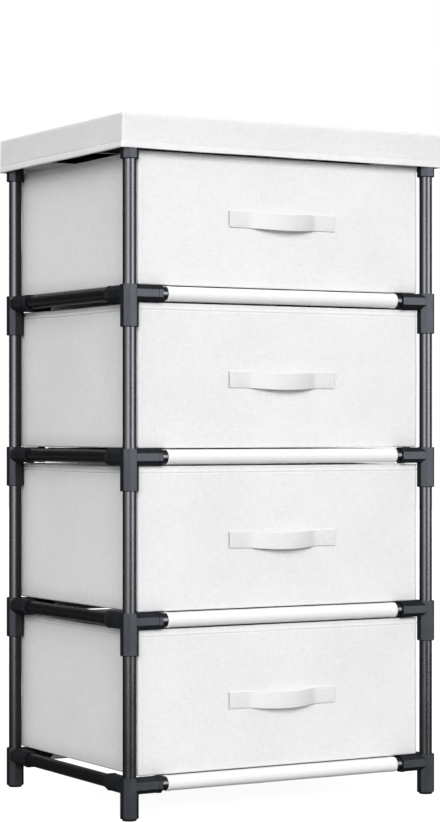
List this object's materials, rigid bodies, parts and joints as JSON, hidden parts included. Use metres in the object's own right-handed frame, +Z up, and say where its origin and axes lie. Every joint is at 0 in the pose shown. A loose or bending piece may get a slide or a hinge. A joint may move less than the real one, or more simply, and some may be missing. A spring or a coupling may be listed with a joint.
{
  "type": "fabric drawer dresser",
  "caption": "Tube-frame dresser with fabric drawers that slide out to the front on fabric shelves, under a fabric-covered board top.",
  "frame": {"origin": "on the floor, at the centre of the four posts", "axes": "+Z up, +X to the right along the drawer fronts, +Y to the rear; the drawers pull out along -Y"},
  "size_m": [0.4526, 0.3362, 0.8272],
  "materials": {
    "tube_metal": "semi-gloss dark grey powder coat",
    "connector_plastic": "moulded, fine satin grain",
    "plug_plastic": "moulded",
    "top_board": "plain fibreboard",
    "stiffener_board": "plain fibreboard",
    "cover_fabric": "white linen-look non-woven",
    "shelf_fabric": "plain white non-woven",
    "drawer_fabric": "white linen-look non-woven",
    "strap_fabric": "white linen-look non-woven, folded and sewn"
  },
  "bodies": {
    "frame": {"top_connector_front_left": "connector_plastic", "top_connector_front_right": "connector_plastic", "top_connector_rear_left": "connector_plastic", "top_connector_rear_right": "connector_plastic", "tier_1_connector_front_left": "connector_plastic", "tier_1_connector_front_right": "connector_plastic", "tier_1_connector_rear_left": "connector_plastic", "tier_1_connector_rear_right": "connector_plastic", "tier_2_connector_front_left": "connector_plastic", "tier_2_connector_front_right": "connector_plastic", "tier_2_connector_rear_left": "connector_plastic", "tier_2_connector_rear_right": "connector_plastic", "tier_3_connector_front_left": "connector_plastic", "tier_3_connector_front_right": "connector_plastic", "tier_3_connector_rear_left": "connector_plastic", "tier_3_connector_rear_right": "connector_plastic", "foot_connector_front_left": "connector_plastic", "foot_connector_front_right": "connector_plastic", "foot_connector_rear_left": "connector_plastic", "foot_connector_rear_right": "connector_plastic", "front_tube_1": "tube_metal", "front_tube_2": "tube_metal", "front_tube_3": "tube_metal", "front_tube_4": "tube_metal", "front_tube_5": "tube_metal", "rear_tube_1": "tube_metal", "rear_tube_2": "tube_metal", "rear_tube_3": "tube_metal", "rear_tube_4": "tube_metal", "rear_tube_5": "tube_metal", "post_tubes_front_left": "tube_metal", "post_tubes_front_right": "tube_metal", "post_tubes_rear_left": "tube_metal", "post_tubes_rear_right": "tube_metal", "side_tubes_left": "tube_metal", "side_tubes_right": "tube_metal", "foot_plugs": "plug_plastic", "top_board": "top_board", "top_cover": "cover_fabric", "shelf_sheet_1": "shelf_fabric", "shelf_sheet_2": "shelf_fabric", "shelf_sheet_3": "shelf_fabric", "shelf_sheet_4": "shelf_fabric"},
    "drawer_1": {"drawer_1_bin": "drawer_fabric", "drawer_1_front_board": "stiffener_board", "drawer_1_base_board": "stiffener_board", "drawer_1_handle_strap": "strap_fabric"},
    "drawer_2": {"drawer_2_bin": "drawer_fabric", "drawer_2_front_board": "stiffener_board", "drawer_2_base_board": "stiffener_board", "drawer_2_handle_strap": "strap_fabric"},
    "drawer_3": {"drawer_3_bin": "drawer_fabric", "drawer_3_front_board": "stiffener_board", "drawer_3_base_board": "stiffener_board", "drawer_3_handle_strap": "strap_fabric"},
    "drawer_4": {"drawer_4_bin": "drawer_fabric", "drawer_4_front_board": "stiffener_board", "drawer_4_base_board": "stiffener_board", "drawer_4_handle_strap": "strap_fabric"}
  },
  "joints": [
    {"name": "drawer_1_slide", "type": "slide", "parent": "frame", "child": "drawer_1", "axis": [0, -1, 0], "range_m": [0, 0.24]},
    {"name": "drawer_2_slide", "type": "slide", "parent": "frame", "child": "drawer_2", "axis": [0, -1, 0], "range_m": [0, 0.24]},
    {"name": "drawer_3_slide", "type": "slide", "parent": "frame", "child": "drawer_3", "axis": [0, -1, 0], "range_m": [0, 0.24]},
    {"name": "drawer_4_slide", "type": "slide", "parent": "frame", "child": "drawer_4", "axis": [0, -1, 0], "range_m": [0, 0.24]}
  ]
}
